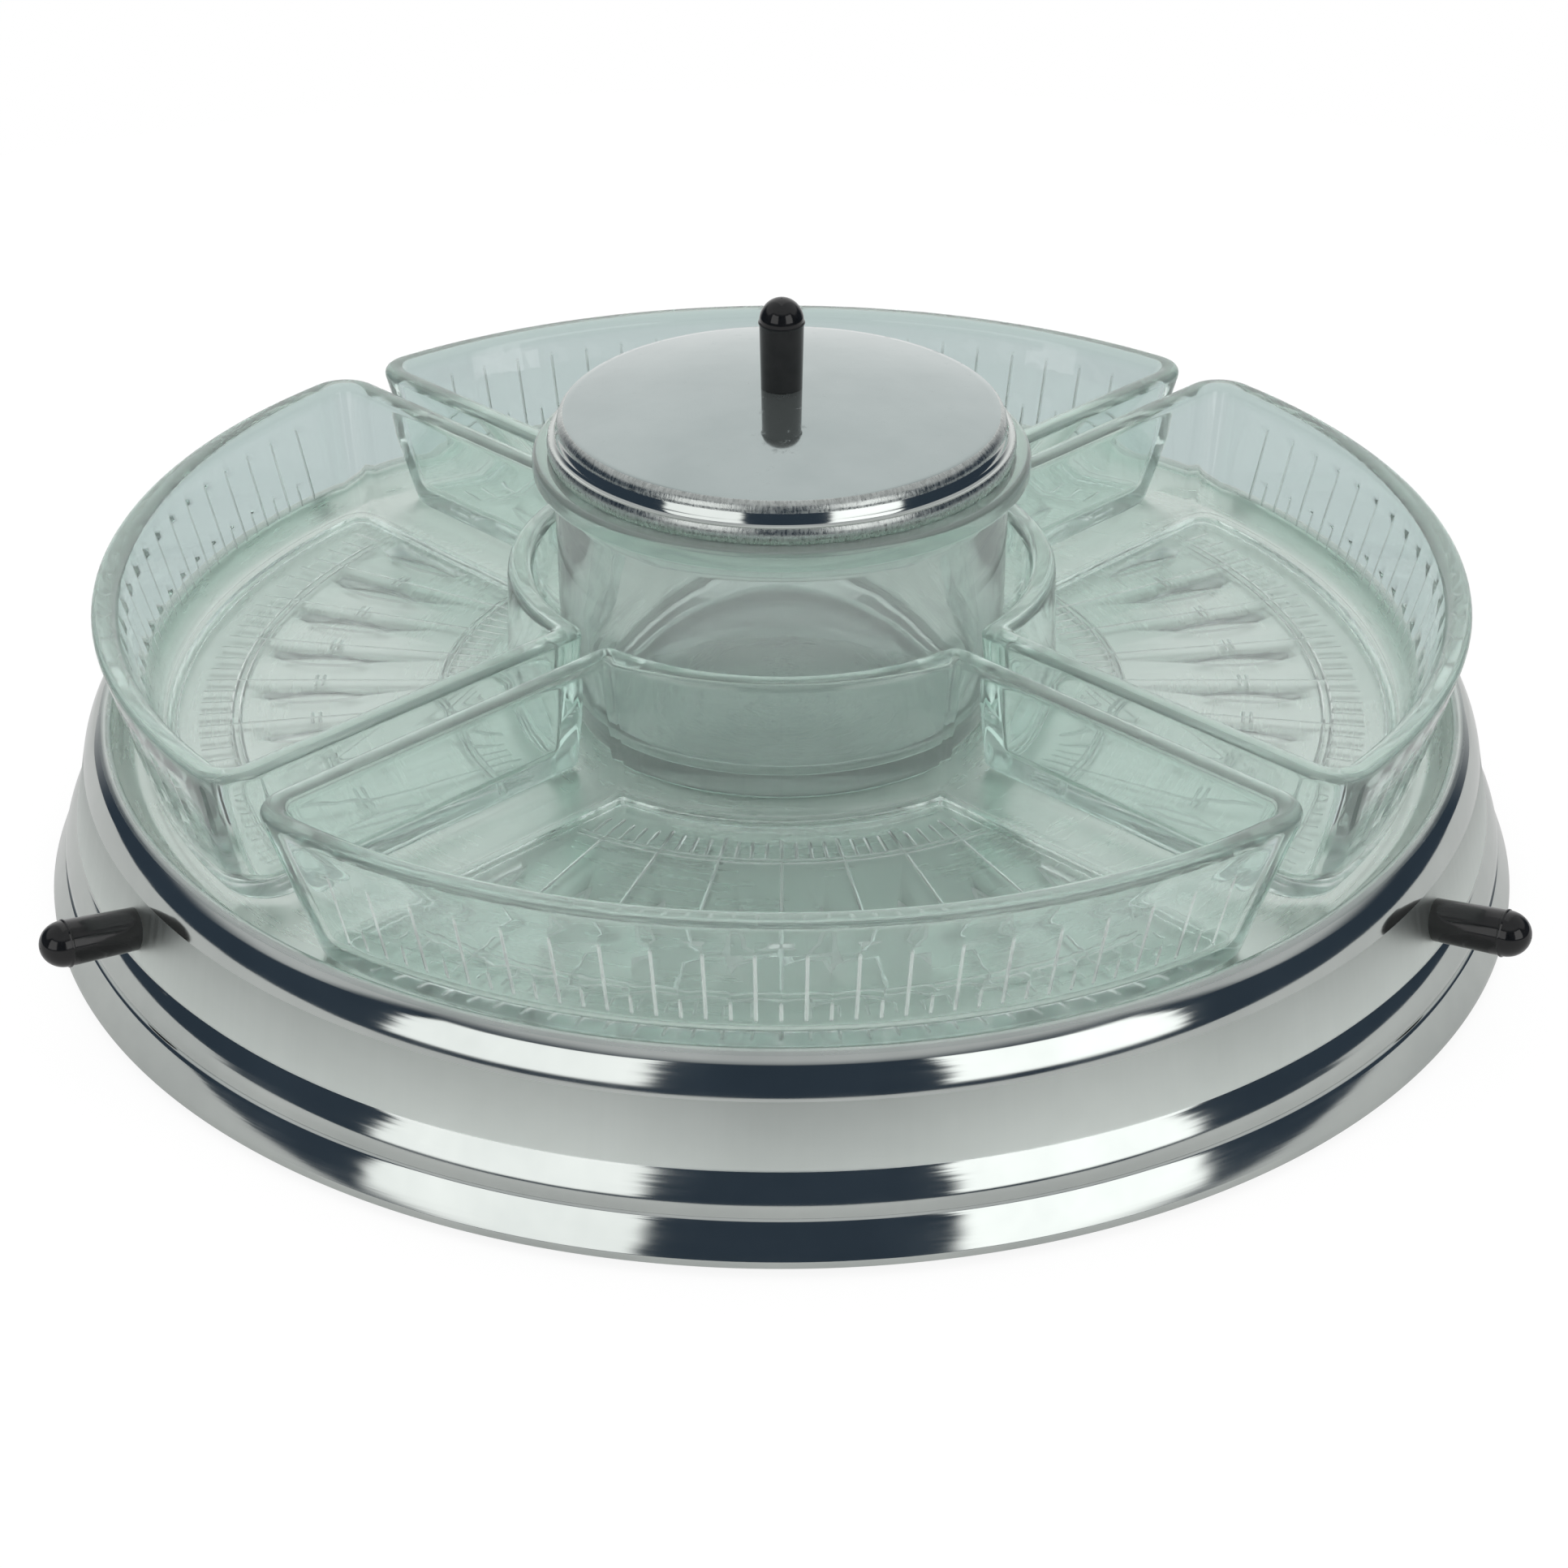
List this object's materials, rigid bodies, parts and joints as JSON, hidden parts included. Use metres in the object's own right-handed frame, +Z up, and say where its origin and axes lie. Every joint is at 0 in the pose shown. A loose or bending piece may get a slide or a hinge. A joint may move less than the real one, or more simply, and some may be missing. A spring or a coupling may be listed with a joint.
{
  "type": "lazy susan turntable",
  "caption": "Revolving table server: a shallow round aluminium turntable on a ball bearing carries wedge-shaped pressed glass dishes round a lidded glass jar.",
  "frame": {"origin": "on the turning axis, in the plane of the table that the feet stand on", "axes": "+Z up along the turning axis; -Y is the front, which one dish faces, and +X is to the right of someone who looks at the front"},
  "size_m": [0.329, 0.3407, 0.129],
  "materials": {
    "spun_aluminium": "spun and polished, fine turning lines",
    "black_peg": "moulded gloss",
    "pressed_glass": "clear pressed glass with a pale green tint",
    "plated_steel": "pressed sheet, zinc plated",
    "bearing_steel": "turned steel, lightly oiled",
    "ball_steel": "polished",
    "brass": "plain, slightly dull",
    "rivet_aluminium": "plain",
    "rubber": "matte"
  },
  "bodies": {
    "base": {"base_plate": "plated_steel", "pivot_bush": "brass", "lower_race": "bearing_steel", "lower_race_rivets": "rivet_aluminium", "foot_1": "rubber", "foot_2": "rubber", "foot_3": "rubber", "foot_4": "rubber"},
    "cage": {"ball_cage": "brass", "bearing_balls": "ball_steel"},
    "turntable": {"tray": "spun_aluminium", "hub_plate": "plated_steel", "upper_race": "bearing_steel", "upper_race_rivets": "rivet_aluminium", "pivot_stud": "bearing_steel", "stud_washer": "bearing_steel", "stud_nut": "bearing_steel", "handle_1": "black_peg", "handle_2": "black_peg", "handle_3": "black_peg", "handle_washers": "bearing_steel", "handle_screws": "bearing_steel"},
    "dish_1": {"dish_1": "pressed_glass"},
    "dish_2": {"dish_2": "pressed_glass"},
    "dish_3": {"dish_3": "pressed_glass"},
    "dish_4": {"dish_4": "pressed_glass"},
    "jar": {"jar": "pressed_glass"},
    "lid": {"lid": "spun_aluminium", "lid_knob": "black_peg", "knob_washer": "bearing_steel", "knob_screw": "bearing_steel"}
  },
  "joints": [
    {"name": "turntable_spin", "type": "hinge", "parent": "base", "child": "turntable", "pos_m": [0, 0, 0.026], "axis": [0, 0, 1], "continuous": true},
    {"name": "cage_spin", "type": "hinge", "parent": "base", "child": "cage", "pos_m": [0, 0, 0.026], "axis": [0, 0, 1], "continuous": true},
    {"name": "dish_1_lift", "type": "slide", "parent": "turntable", "child": "dish_1", "axis": [0, 0, 1], "range_m": [0, 0.1]},
    {"name": "dish_2_lift", "type": "slide", "parent": "turntable", "child": "dish_2", "axis": [0, 0, 1], "range_m": [0, 0.1]},
    {"name": "dish_3_lift", "type": "slide", "parent": "turntable", "child": "dish_3", "axis": [0, 0, 1], "range_m": [0, 0.1]},
    {"name": "dish_4_lift", "type": "slide", "parent": "turntable", "child": "dish_4", "axis": [0, 0, 1], "range_m": [0, 0.1]},
    {"name": "jar_lift", "type": "slide", "parent": "turntable", "child": "jar", "axis": [0, 0, 1], "range_m": [0, 0.1]},
    {"name": "lid_lift", "type": "slide", "parent": "jar", "child": "lid", "axis": [0, 0, 1], "range_m": [0, 0.05]}
  ],
  "couplings": [
    {"joint": "cage_spin", "follows": "turntable_spin", "ratio": 0.5}
  ]
}
